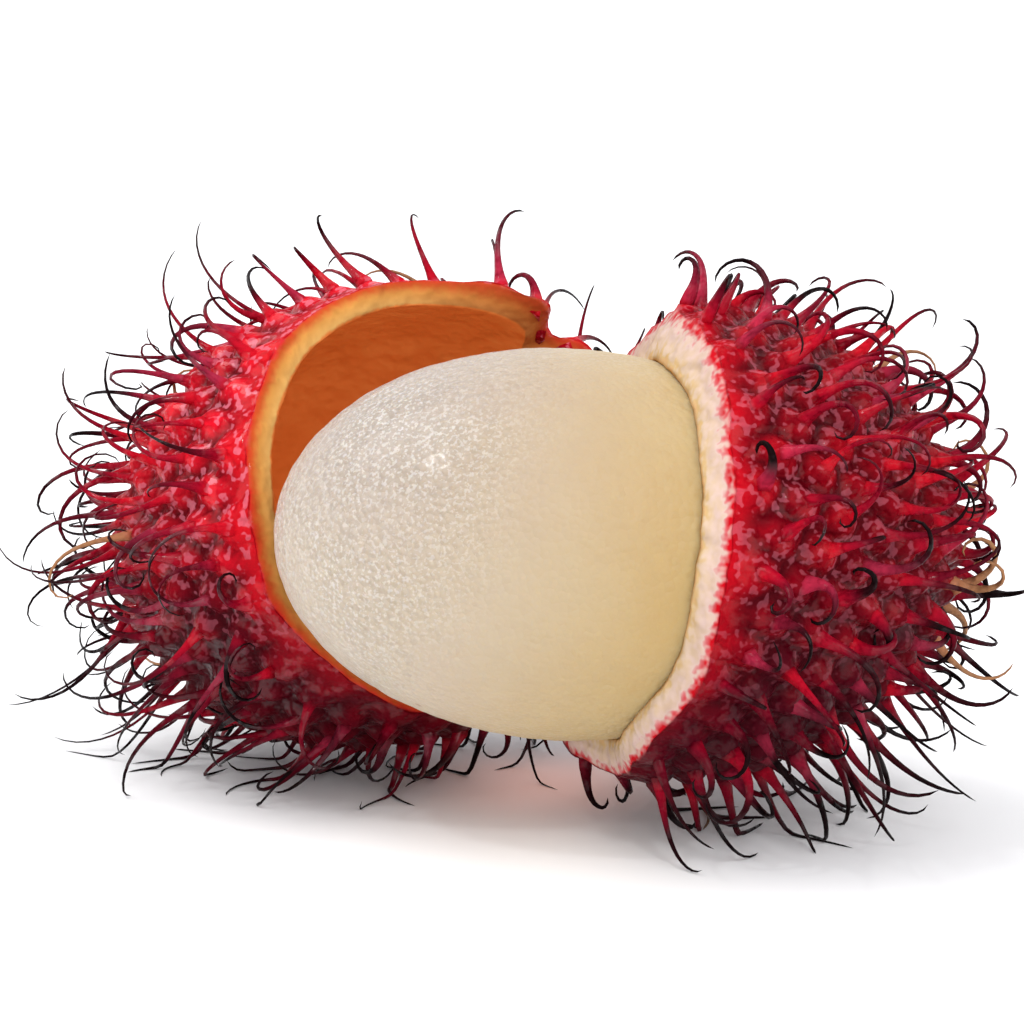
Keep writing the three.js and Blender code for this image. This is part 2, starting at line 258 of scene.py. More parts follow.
def spine_of(cup, index, neighbours):
    """One spine's middle line: it leans towards the cup's closed end and curls more and more to its tip."""
    along = 1 - 2 * (index + 0.5) / SPINES_ROUND_FRUIT
    ring = math.sqrt(1 - along * along)
    turn = index * GOLDEN_ANGLE
    body = cup.outer
    base = (
        body.centre
        + body.side * (ring * math.cos(turn) * body.radius)
        + body.over * (ring * math.sin(turn) * body.radius)
        + body.axis * (along * body.half_length)
    )
    if past_edge(cup, base) > -RIM_MARGIN:
        return None
    if cup.scar is not None and (base - cup.scar).length < SCAR_CLEARING:
        return None
    key = index + cup.seed * 1000
    normal = outside(body, base)[1]
    back = -body.axis - normal * normal.dot(-body.axis)
    reach = back.length
    back.normalize()
    across = normal.cross(back)
    rule = cup.spine
    from_edge = min(1, -past_edge(cup, base) / UPRIGHT_REACH)
    may_stand = normal.z < UNDER and normal.y > cup.stands_behind
    stands = may_stand and chance(key, 12) < STANDING_SHARE
    length_share = mix(SHORT_SHARE, 1, from_edge) * (STANDING_LENGTH if stands else 1)
    length = mix(rule.shortest, rule.longest, chance(key, 1)) * length_share
    lean_share = mix(*LEAN_SHARES, chance(key, 2)) * mix(UPRIGHT_SHARE, 1, from_edge)
    lean = math.radians(rule.lean) * reach * lean_share
    sway = math.radians(mix(-LARGEST_SWAY, LARGEST_SWAY, chance(key, 3)))
    heading = normal * math.cos(lean) + back * (math.sin(lean) * math.cos(sway))
    heading += across * (math.sin(sway) * SWAY_SHARE)
    heading += DOWN * (STANDING_DROP if stands else 0)
    heading.normalize()
    curl = math.radians(mix(-LARGEST_CURL, LARGEST_CURL, chance(key, 4)))
    hinge = heading.cross(back * math.cos(curl) + across * math.sin(curl)).normalized()
    turned = math.radians(mix(rule.turn_least, rule.turn_most, chance(key, 5) ** TURN_POWER))
    bend = turned * (STANDING_TURN if stands else 1)
    lateness = mix(*LATENESS, chance(key, 11))
    points = [base.copy()]
    for step in range(PATH_STEPS):
        share = (step + 0.5) / PATH_STEPS
        turned_here = bend * (lateness + 1) * share**lateness / PATH_STEPS
        heading.rotate(Quaternion(hinge, turned_here))
        points.append(points[step] + heading * (length / PATH_STEPS))
    shaft = rule.shaft * mix(*SHAFT_SHARES, chance(key, 6))

    def thickness(share):
        taper = mix(1, TIP_SHARE, share**TAPER_POWER)
        return shaft * taper + (rule.root - rule.shaft) * math.exp(-share * length / ROOT_FLARE)

    pushed = 0
    for step, point in enumerate(points):
        share = step / PATH_STEPS
        distance, way = outside(body, point)
        wanted = OWN_CLEARANCE * min(1, share * CLEAR_BY)
        if distance < wanted:
            point += way * (wanted - distance)
        for other, solid_at in neighbours:
            distance, way = outside(other, point)
            short = NEIGHBOUR_CLEARANCE - distance
            if short > 0 and solid_at(point):
                pushed = max(pushed, short)
                point += way * short
    if pushed > LARGEST_PUSH:
        return None
    settle(points, thickness)
    return SimpleNamespace(cup=cup, key=key, base=base, normal=normal, points=points, thickness=thickness)


def keeps_within(spine):
    """No spine reaches much further out than the furthest tips of the solids."""
    box_low, box_high = cad_box
    places = [in_place(point) for point in spine.points]
    return all(
        box_low[axis] - FURTHEST_OUT < place[axis] < box_high[axis] + FURTHEST_OUT
        for place in places
        for axis in range(3)
    )


def spines_of(cup, other, taken):
    neighbours = (
        (flesh_body, lambda point: True),
        (other.outer, lambda point: past_edge(other, point) < NEIGHBOUR_CLEARANCE),
    )
    grown = [spine_of(cup, index, neighbours) for index in range(SPINES_ROUND_FRUIT)]

    def is_free(spine):
        return not any(
            (p - q).length < LEAST_GAP
            for there in taken
            if (there.base - spine.base).length < furthest
            for p in there.points
            for q in spine.points
        )

    furthest = 2 * STANDING_LENGTH * max(cup.spine.longest, other.spine.longest)
    alive = [spine for spine in grown if spine is not None and is_free(spine)]
    return [spine for spine in alive if keeps_within(spine)]


right_spines = spines_of(right, left, [])
left_spines = spines_of(left, right, right_spines)

SPINE_SIDES = 5
SPINE_RINGS = 15
FIRST_ACROSS = (0.36, 0.48, 0.8)
RIDGE_SIZE = 0.14
ROOT_SHARE = 0.2
LOWEST = 0.03


def give(mesh, name, values):
    """Stores one number for each vertex, which the material reads by name."""
    layer = mesh.attributes.get(name) or mesh.attributes.new(name, "FLOAT", "POINT")
    layer.data.foreach_set("value", values)


def straight_spine():
    """A spine uncurled: a closed tube of radius 1 from z = 0, drawn out to a point at z = 1."""
    bpy.ops.mesh.primitive_circle_add(vertices=SPINE_SIDES, radius=1, fill_type="NGON")
    straight = bpy.context.object
    bpy.ops.object.mode_set(mode="EDIT")
    bpy.ops.mesh.select_all(action="SELECT")
    for _ in range(SPINE_RINGS):
        bpy.ops.mesh.extrude_region_move(TRANSFORM_OT_translate={"value": (0, 0, 1 / SPINE_RINGS)})
    bpy.ops.mesh.merge(type="CENTER")
    bpy.ops.mesh.select_all(action="SELECT")
    bpy.ops.mesh.normals_make_consistent(inside=False)
    bpy.ops.object.mode_set(mode="OBJECT")
    bpy.ops.object.select_all(action="DESELECT")
    return straight


spine_mould = straight_spine()


def curled_spine(spine):
    """A copy of the straight spine, bent along its own middle line, with an angular, fleshy root."""
    mesh = spine_mould.data.copy()
    stations = []
    across = Vector(FIRST_ACROSS)
    for ring in range(SPINE_RINGS + 1):
        share = ring / SPINE_RINGS
        at = share * PATH_STEPS
        first = min(int(at), PATH_STEPS - 1)
        ahead = (spine.points[first + 1] - spine.points[first]).normalized()
        centre = spine.points[first].lerp(spine.points[first + 1], at - first)
        if ring == 0:
            centre = spine.base - spine.normal * ROOT_DEPTH
            ahead = spine.normal
        across = (across - ahead * across.dot(ahead)).normalized()
        stations.append((centre, across.copy(), ahead.cross(across)))
    ridge = chance(spine.key, 7) * math.tau
    flat = mix(0.72, 1, chance(spine.key, 8))
    from_edge = -past_edge(spine.cup, spine.base)
    slim = mix(spine.cup.edge_root, 0.95, smooth_step(1.5, 4.5, from_edge))
    for vertex in mesh.vertices:
        share = vertex.co.z
        centre, across, up = stations[round(share * SPINE_RINGS)]
        angle = math.atan2(vertex.co.y, vertex.co.x)
        ridged = 1 + RIDGE_SIZE * math.cos(3 * angle + ridge) * math.exp(-share / ROOT_SHARE)
        slimmer = mix(slim, spine.cup.slender, min(1, share / ROOT_SHARE))
        size = spine.thickness(share) * ridged * slimmer if share < 0.999 else 0
        spoke = across * math.cos(angle) + up * (math.sin(angle) * flat)
        place = centre + spoke * size
        place.z = max(place.z, LOWEST)
        vertex.co = in_place(place)
    count = len(mesh.vertices)
    shares = [round(v.co.z * SPINE_RINGS) / SPINE_RINGS for v in spine_mould.data.vertices]
    give(mesh, "along", shares)
    give(mesh, "tint", [chance(spine.key, 9)] * count)
    give(mesh, "dry", [max(0, chance(spine.key, 10) - 1 + DRIEST) / DRIEST] * count)
    give(mesh, "depth", [0] * count)
    give(mesh, "edge", [from_edge] * count)
    # The valley number darkens each spine's root where it meets the skin: painted shade.
    give(mesh, "valley", [0.6 * max(0, 1 - share * 8) for share in shares])
    piece = bpy.data.objects.new("spine", mesh)
    bpy.context.scene.collection.objects.link(piece)
    return piece


WALL_SEGMENTS = 224
WALL_RINGS = 60
INNER_SIZE = 0.9
RIM_CUTS = 7
MOUND_HEIGHT = 1.15
VALLEY_DEPTH = 0.25
NEAREST_ROOTS = 6
TORN_SWELL = 0.3
LIP_SWELL = 3.5


def lining_reach(cup, heading, near_edge):
    """The lining follows the outside, but where the cup still holds the flesh it swells inwards to it."""
    reach = reach_of(cup.inner, cup.middle, heading)
    if cup.print is None:
        return reach
    deepest = reach_of(cup.deepest, cup.middle, heading) - LIP_SWELL * near_edge
    return max(min(reach, reach_of(cup.print, cup.middle, heading)), deepest)


def half_shells():
    """Two nested half balls joined at their rims: the inner one is the lining, the bridge the torn face."""
    bpy.ops.mesh.primitive_uv_sphere_add(segments=WALL_SEGMENTS, ring_count=2 * WALL_RINGS, radius=1)
    shells = bpy.context.object
    bpy.ops.object.mode_set(mode="EDIT")
    bpy.ops.mesh.select_all(action="SELECT")
    bpy.ops.mesh.bisect(plane_co=(0, 0, 0), plane_no=(0, 0, 1), clear_outer=True, threshold=1e-4)
    bpy.ops.mesh.select_all(action="SELECT")
    bpy.ops.mesh.duplicate()
    bpy.ops.transform.resize(value=(INNER_SIZE,) * 3, center_override=(0, 0, 0))
    bpy.ops.mesh.flip_normals()
    bpy.ops.mesh.select_all(action="DESELECT")
    bpy.ops.mesh.select_mode(type="EDGE")
    bpy.ops.mesh.select_non_manifold()
    bpy.ops.mesh.bridge_edge_loops(number_cuts=RIM_CUTS, interpolation="LINEAR")
    bpy.ops.object.mode_set(mode="OBJECT")
    bpy.ops.object.select_all(action="DESELECT")
    return shells


def shaped_wall(cup, spines, outer_drop, inner_drop, reddened):
    """Puts the half shells' vertices on the cup: mounds under the spines, a torn face, a smooth lining."""
    wall = half_shells()
    roots = kdtree.KDTree(2 * len(spines))
    for number, spine in enumerate(spines):
        roots.insert(spine.base, number)
        roots.insert(spine.points[0].lerp(spine.points[2], 0.9), number)
    roots.balance()
    along, tint, depths, edges, valleys, blushes = [], [], [], [], [], []
    for vertex in wall.data.vertices:
        size = vertex.co.length
        depth = min(1, max(0, (1 - size) / (1 - INNER_SIZE)))
        polar = math.acos(min(1, max(-1, -vertex.co.z / size)))
        angle = math.atan2(vertex.co.y, vertex.co.x)
        near_edge = smooth_step(0.55, 1, polar / (math.pi / 2))
        spot = Vector((math.cos(angle), math.sin(angle), cup.seed))
        ragged = 0.16 * noise.noise(spot * 9) + 0.1 * noise.noise(spot * 24)
        drop = mix(outer_drop(angle), inner_drop(angle), depth)
        height = edge_height(cup, angle) + (ragged - drop) * near_edge
        lift = math.atan(height / EDGE_RADIUS)
        elevation = -math.pi / 2 + polar * (math.pi / 2 + lift) / (math.pi / 2)
        flat = cup.side * math.cos(angle) + cup.over * math.sin(angle)
        heading = flat * math.cos(elevation) + cup.ahead * math.sin(elevation)
        reach = mix(reach_of(cup.outer, cup.middle, heading), lining_reach(cup, heading, near_edge), depth)
        place = cup.middle + heading * reach
        valley = 0
        if 0.001 < depth < 0.999:
            swell = 4 * depth * (1 - depth)
            grain = noise.noise(place * 0.9) * 0.22 + noise.noise(place * 2.6) * 0.14
            place += cup.ahead * (TORN_SWELL * swell + grain * swell)
        elif depth <= 0.001:
            near = roots.find_n(place, NEAREST_ROOTS)
            first = near[0][2]
            second = next((gap for _, number, gap in near if number != near[0][1]), near[-1][2])
            cell = (second - first) / max(second + first, 1e-6)
            rise = smooth_step(0, 0.85, cell) * mix(1, 0.35, near_edge**3)
            # The valley share sinks the skin between the mounds; the material also paints shade there.
            valley = 1 - smooth_step(0, 0.45, cell)
            bumps = noise.noise(place * 0.55) * 0.3 + noise.noise(place * 1.7) * 0.12
            raised = MOUND_HEIGHT * rise - VALLEY_DEPTH * valley + bumps * (1 - near_edge)
            place += outside(cup.outer, place)[1] * raised
        else:
            folds = noise.noise(Vector((math.cos(angle) * 3, math.sin(angle) * 3, elevation * 0.8))) * 0.22
            soft = noise.noise(place * 0.16) * 0.35
            if cup.print is None:
                place += outside(cup.inner, place)[1] * ((folds + soft) * (1 - near_edge))
        along.append(0)
        tint.append(0.5 + 0.5 * noise.noise(place * 0.2))
        depths.append(depth)
        edges.append(-past_edge(cup, place))
        valleys.append(valley)
        blushes.append(reddened(angle) * near_edge)
        place.z = max(place.z, LOWEST)
        vertex.co = in_place(place)
    mesh = wall.data
    give(mesh, "along", along)
    give(mesh, "tint", tint)
    give(mesh, "dry", along)
    give(mesh, "depth", depths)
    give(mesh, "edge", edges)
    give(mesh, "valley", valleys)
    give(mesh, "blush", blushes)
    return wall


def grown_together(cup, wall, pieces):
    """Joins the spines to their wall, as one piece of rind."""
    bpy.ops.object.select_all(action="DESELECT")
    for piece in pieces:
        piece.select_set(True)
    wall.select_set(True)
    bpy.context.view_layer.objects.active = wall
    bpy.ops.object.join()
    bpy.ops.object.shade_smooth()
    wall.name = cup.name + "_looks"
    bpy.ops.object.select_all(action="DESELECT")
    return wall


def bump_at(centre, width, height):
    """A rise or drop of the edge at one place round the mouth, as a function of the angle."""
    middle = math.radians(centre)
    spread = math.radians(width)

    def at(angle):
        away = math.atan2(math.sin(angle - middle), math.cos(angle - middle))
        return height * math.exp(-((away / spread) ** 2))

    return at


SKIN_DROP = 0.15
torn_back = bump_at(-140, 30, 2.4)
notch = bump_at(-142, 5, 3.4)
left_wall = shaped_wall(
    left,
    left_spines,
    outer_drop=lambda angle: SKIN_DROP + notch(angle),
    inner_drop=lambda angle: torn_back(angle) + notch(angle),
    reddened=bump_at(-128, 26, 0.42),
)
left_rind = grown_together(left, left_wall, [curled_spine(spine) for spine in left_spines])


# The light is this much brighter than white paper needs, so colours written as they look are darker.
LIGHT_LEVEL = 1.25


def linear(red, green, blue):
    """A colour as it looks on the screen, from 0 to 255, in the renderer's own scale."""
    shares = (c / 255 for c in (red, green, blue))
    values = (c / 12.92 if c < 0.04 else ((c + 0.055) / 1.055) ** 2.4 for c in shares)
    return tuple(value / LIGHT_LEVEL for value in values) + (1,)


def node(tree, kind, inputs=(), **settings):
    """Adds a node, sets its properties and its inputs: an input is a value, or a socket to link from."""
    made = tree.nodes.new(kind)
    for name, value in settings.items():
        setattr(made, name, value)
    for key, value in dict(inputs).items():
        if isinstance(value, bpy.types.NodeSocket):
            tree.links.new(value, made.inputs[key])
        else:
            made.inputs[key].default_value = value
    return made


def ramp(tree, value, stops, interpolation="LINEAR"):
    """A colour ramp: stops are (position, colour)."""
    made = node(tree, "ShaderNodeValToRGB", {"Fac": value})
    made.color_ramp.interpolation = interpolation
    elements = made.color_ramp.elements
    while len(elements) < len(stops):
        elements.new(0.5)
    for element, (position, colour) in zip(elements, stops):
        element.position = position
        element.color = colour
    return made.outputs["Color"]


def blend(tree, share, first, second, kind="MIX"):
    made = node(tree, "ShaderNodeMix", data_type="RGBA", blend_type=kind)
    for identifier, value in (("Factor_Float", share), ("A_Color", first), ("B_Color", second)):
        socket = next(s for s in made.inputs if s.identifier == identifier)
        if isinstance(value, bpy.types.NodeSocket):
            tree.links.new(value, socket)
        else:
            socket.default_value = value
    return next(s for s in made.outputs if s.identifier == "Result_Color")


def math_of(tree, operation, first, second, clamp=False):
    made = node(tree, "ShaderNodeMath", {0: first, 1: second}, operation=operation, use_clamp=clamp)
    return made.outputs[0]


def plus(tree, first, second):
    return math_of(tree, "ADD", first, second)


def minus(tree, first, second, clamp=False):
    return math_of(tree, "SUBTRACT", first, second, clamp)


def times(tree, first, second):
    return math_of(tree, "MULTIPLY", first, second)


def larger(tree, first, second):
    return math_of(tree, "MAXIMUM", first, second)


def uneven(tree, mask, size):
    """A mask from 0 to 1 as a wobble about 0."""
    return times(tree, minus(tree, mask, 0.5), size)


def spread(tree, value, low, high, to_low=0.0, to_high=1.0):
    """Stretches a stretch of values to another, smoothly, and stops at its ends."""
    made = node(
        tree,
        "ShaderNodeMapRange",
        {"Value": value, "From Min": low, "From Max": high, "To Min": to_low, "To Max": to_high},
        interpolation_type="SMOOTHSTEP",
    )
    return made.outputs["Result"]


def noise_of(tree, place, scale, detail, roughness):
    inputs = {"Vector": place, "Scale": scale, "Detail": detail, "Roughness": roughness}
    return node(tree, "ShaderNodeTexNoise", inputs).outputs["Fac"]


def grain_group():
    """Fine uneven grain, as on skin and flesh: a soft mask of blotches and a fine mask of specks."""
    tree = bpy.data.node_groups.new("uneven grain", "ShaderNodeTree")
    tree.interface.new_socket("Place", in_out="INPUT", socket_type="NodeSocketVector")
    tree.interface.new_socket("Blotch Scale", in_out="INPUT", socket_type="NodeSocketFloat")
    tree.interface.new_socket("Speck Scale", in_out="INPUT", socket_type="NodeSocketFloat")
    tree.interface.new_socket("Blotches", in_out="OUTPUT", socket_type="NodeSocketFloat")
    tree.interface.new_socket("Specks", in_out="OUTPUT", socket_type="NodeSocketFloat")
    given = tree.nodes.new("NodeGroupInput").outputs
    result = tree.nodes.new("NodeGroupOutput").inputs
    blotch = noise_of(tree, given["Place"], given["Blotch Scale"], 2.0, 0.55)
    speck = noise_of(tree, given["Place"], given["Speck Scale"], 1.0, 0.6)
    tree.links.new(spread(tree, blotch, 0.32, 0.68), result["Blotches"])
    tree.links.new(spread(tree, speck, 0.3, 0.7), result["Specks"])
    return tree


uneven_grain = grain_group()


def grained(tree, place, blotch_scale, speck_scale):
    made = node(tree, "ShaderNodeGroup", node_tree=uneven_grain)
    tree.links.new(place, made.inputs["Place"])
    made.inputs["Blotch Scale"].default_value = blotch_scale
    made.inputs["Speck Scale"].default_value = speck_scale
    return made.outputs["Blotches"], made.outputs["Specks"]


def attribute(tree, name):
    return node(tree, "ShaderNodeAttribute", attribute_name=name).outputs["Fac"]


def rind_finish(name, wetness_and_glints, mottling, speckle, skin_colours, torn_stops, linings, through_light):
    """Wet red skin that darkens down the fruit with painted shade, with painted shade in its valleys,
    painted glints, and painted light near the torn edge up high; spines that dry to black tips and darken
    low down with painted shade; a fibrous torn face and a smooth lining that glows with painted light."""
    material = bpy.data.materials.new(name)
    material.use_nodes = True
    tree = material.node_tree
    shader = tree.nodes["Principled BSDF"]
    bright, deep, edge_red_and_glow = skin_colours
    lining, lining_dark = linings
    place = node(tree, "ShaderNodeTexCoord").outputs["Object"]
    height = node(tree, "ShaderNodeSeparateXYZ", {"Vector": place}).outputs["Z"]
    blush = attribute(tree, "blush")
    along = attribute(tree, "along")
    tint = attribute(tree, "tint")
    dry = attribute(tree, "dry")
    depth = attribute(tree, "depth")
    edge = attribute(tree, "edge")
    valley = attribute(tree, "valley")
    blotches, specks = grained(tree, place, 190.0, 1100.0)
    mottle = grained(tree, place, 520.0, 2600.0)[0]

    # Painted shade: the skin turns to the deep colour low down, where the fruit is in shade. The blotches
    # add the skin's own uneven tone.
    low_down = spread(tree, height, 0.036, 0.008)
    shade = plus(tree, times(tree, low_down, 0.95), times(tree, blotches, 0.45))
    # Painted light: high up, the skin is made lighter towards the torn edge. The bright red band along the
    # edge is partly the skin's own colour and partly painted light, as it fades low down.
    high_up = spread(tree, height, 0.01, 0.03)
    painted_light_by_edge = times(tree, spread(tree, edge, 7.0, 0.5, 0.0, 0.35), high_up)
    shade = minus(tree, shade, painted_light_by_edge, clamp=True)
    skin = blend(tree, shade, bright, deep)
    skin = blend(tree, times(tree, mottle, mottling), skin, deep)
    higher_up = spread(tree, height, 0.01, 0.034, 0.1, 1.0)
    glowing = times(tree, spread(tree, edge, 3.2, 0.3, 0.0, 0.8), higher_up)
    skin = blend(tree, glowing, skin, edge_red_and_glow)
    # Painted shade in the valleys between the mounds and at the spines' roots, weaker near the torn edge.
    valley_shade = times(tree, valley, spread(tree, edge, 0.5, 4.0, 0.15, 0.85))
    skin = blend(tree, valley_shade, skin, linear(52, 1, 9))

    # Painted highlight: pink-white glints on the specks, higher up, as on wet skin. The same wetness also
    # sets the coat.
    lit = minus(tree, 1.0, low_down)
    painted_glints = times(tree, spread(tree, specks, 0.66, 0.92, 0.0, 1.1 * wetness_and_glints), lit)
    skin = blend(tree, painted_glints, skin, linear(240, 130, 150))

    past_root = spread(tree, along, 0.08, 0.5)
    drying_and_shade = plus(tree, along, times(tree, times(tree, dry, 0.55), past_root))
    drying_and_shade = plus(tree, drying_and_shade, uneven(tree, tint, 0.35))
    # Painted shade: the spines darken low down as well.
    drying_and_shade = plus(tree, drying_and_shade, times(tree, low_down, 0.3))
    drying_and_shade = plus(tree, drying_and_shade, uneven(tree, blotches, 0.3))
    shaft = ramp(
        tree,
        drying_and_shade,
        (
            (0.0, linear(200, 14, 34)),
            (0.22, linear(166, 8, 36)),
            (0.5, linear(112, 6, 30)),
            (0.78, linear(48, 5, 14)),
            (1.0, linear(14, 6, 8)),
        ),
    )
    fresh_and_lit = minus(tree, 1.0, drying_and_shade, clamp=True)
    pinkish = times(tree, spread(tree, tint, 0.66, 0.95, 0.0, 0.6), fresh_and_lit)
    shaft = blend(tree, pinkish, shaft, linear(216, 64, 98))
    shaft = blend(tree, spread(tree, dry, 0.955, 0.97, 0.0, 0.8), shaft, linear(186, 132, 92))
    on_spine = spread(tree, along, 0.03, 0.14)
    skin = blend(tree, on_spine, skin, shaft)

    uneven_depth = plus(tree, depth, uneven(tree, specks, speckle))
    uneven_depth = minus(tree, uneven_depth, times(tree, blush, 0.45))
    torn = ramp(tree, larger(tree, uneven_depth, 0.0), ((0.0, edge_red_and_glow),) + torn_stops + ((1.0, lining),))
    torn = blend(tree, times(tree, specks, 0.22), torn, linear(246, 222, 176), "MULTIPLY")
    torn = blend(tree, times(tree, blush, 1.5), torn, linear(184, 94, 44))
    inside = blend(tree, blotches, lining, lining_dark)
    inner = blend(tree, spread(tree, depth, 0.93, 1.0), torn, inside)
    colour = blend(tree, spread(tree, depth, 0.0, 0.1), skin, inner)
    tree.links.new(colour, shader.inputs["Base Color"])

    glow = blend(tree, spread(tree, depth, 0.9, 1.0), (0, 0, 0, 1), through_light)
    tree.links.new(glow, shader.inputs["Emission Color"])
    shader.inputs["Emission Strength"].default_value = 1

    wet = spread(tree, mottle, 0.5, 0.15)
    wet = times(tree, wet, spread(tree, depth, 0.2, 0.0))
    rough = plus(tree, 0.34, times(tree, specks, 0.2))
    rough = plus(tree, rough, spread(tree, depth, 0.0, 0.15, 0.0, 0.22))
    rough = plus(tree, rough, times(tree, dry, 0.15))
    tree.links.new(rough, shader.inputs["Roughness"])
    tree.links.new(times(tree, wet, wetness_and_glints), shader.inputs["Coat Weight"])
    shader.inputs["Coat Roughness"].default_value = 0.09
    shader.inputs["Specular IOR Level"].default_value = 0.06
    shader.inputs["Specular Tint"].default_value = (1, 0.5, 0.5, 1)

    fibres = noise_of(tree, place, 700.0, 1.0, 0.65)
    relief = plus(tree, blotches, times(tree, fibres, 0.8))
    outside_only = spread(tree, depth, 0.05, 0.0, 0.0, 0.9)
    relief = plus(tree, relief, times(tree, mottle, outside_only))
    bump = node(tree, "ShaderNodeBump", {"Strength": 0.7, "Distance": 0.0006, "Height": relief})
    tree.links.new(bump.outputs["Normal"], shader.inputs["Normal"])
    return material


left_rind.data.materials.clear()
left_rind.data.materials.append(
    rind_finish(
        "left rind",
        wetness_and_glints=0.5,
        mottling=0.3,
        speckle=0.08,
        skin_colours=(linear(250, 22, 44), linear(88, 2, 18), linear(206, 20, 28)),
        torn_stops=(
            (0.22, linear(204, 90, 42)),
            (0.5, linear(226, 160, 82)),
            (0.88, linear(236, 184, 108)),
        ),
        linings=(linear(250, 142, 74), linear(240, 122, 58)),
        through_light=(0.095, 0.034, 0.005, 1),
    )
)
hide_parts("left_rind")
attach(left_rind, "root")


# The right cup is the other part of the same rind. It still holds the flesh, and its shorter, thicker
# spines hook over at their tips. A round scar near its closed end is where the fruit hung on its stalk.
RIGHT_SKIN_DROP = 0.5
skin_back = bump_at(-95, 35, 0.9)
near_lip = bump_at(180, 60, -1.2)
right_wall = shaped_wall(
    right,
    right_spines,
    outer_drop=lambda angle: RIGHT_SKIN_DROP + skin_back(angle),
    inner_drop=near_lip,
    reddened=lambda angle: 0,
)


def stalk_scar(cup):
    """A low rough button: a flattened ball, pressed in at its middle."""
    bpy.ops.mesh.primitive_uv_sphere_add(segments=32, ring_count=20, radius=1)
    button = bpy.context.object
    normal = outside(cup.outer, cup.scar)[1]
    turn = Vector((0, 0, 1)).rotation_difference(normal)
    for vertex in button.data.vertices:
        co = vertex.co.copy()
        across = math.hypot(co.x, co.y)
        ring = 1 + 0.06 * math.sin(across * 14) + 0.1 * noise.noise(co * 4)
        dish = 1 - 0.45 * math.exp(-((across / 0.4) ** 2)) if co.z > 0 else 1
        shape = Vector((co.x * SCAR_RADIUS, co.y * SCAR_RADIUS, co.z * SCAR_HEIGHT * dish)) * ring
        shape.rotate(turn)
        vertex.co = in_place(cup.scar + shape)
    count = len(button.data.vertices)
    readings = {"along": 0, "tint": 0.5, "dry": 0, "depth": 0.3, "edge": 40, "valley": 0}
    for name, value in readings.items():
        give(button.data, name, [value] * count)
    bpy.ops.object.select_all(action="DESELECT")
    return button


right_pieces = [curled_spine(spine) for spine in right_spines] + [stalk_scar(right)]
right_rind = grown_together(right, right_wall, right_pieces)
right_rind.data.materials.clear()
right_rind.data.materials.append(
    rind_finish(
        "right rind",
        wetness_and_glints=0.22,
        mottling=0.45,
        speckle=0.26,
        skin_colours=(linear(180, 4, 24), linear(72, 1, 18), linear(202, 8, 26)),
        torn_stops=(
            (0.12, linear(212, 112, 114)),
            (0.28, linear(222, 194, 184)),
            (0.7, linear(224, 198, 172)),
            (0.9, linear(222, 190, 138)),
        ),
        linings=(linear(236, 196, 146), linear(220, 160, 90)),
        through_light=(0, 0, 0, 1),
    )
)
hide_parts("right_rind")
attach(right_rind, "root")


# The flesh is one smooth, wet, half-clear egg. Its skin catches the light in fine sparkling grain, with
# painted white highlight specks at the upper left and painted light that makes it paler low on the left; it
# is more yellow low on the right, where it is deep. It sits in the right cup.
FLESH_SEGMENTS = 280
FLESH_RINGS = 180
bpy.ops.mesh.primitive_uv_sphere_add(segments=FLESH_SEGMENTS, ring_count=FLESH_RINGS, radius=1)
flesh = bpy.context.object
flesh.name = "flesh_looks"
for vertex in flesh.data.vertices:
    unit = vertex.co.copy()
    place = (
        flesh_body.centre
        + flesh_body.side * (unit.x * flesh_body.radius)
        + flesh_body.over * (-unit.y * flesh_body.radius)
        + flesh_body.axis * (unit.z * flesh_body.half_length)
    )
    way = outside(flesh_body, place)[1]
    place += way * (0.05 * noise.noise(place * 0.3) + 0.07 * noise.noise(place * 0.8))
    vertex.co = in_place(place)
bpy.ops.object.shade_smooth()
bpy.ops.object.select_all(action="DESELECT")


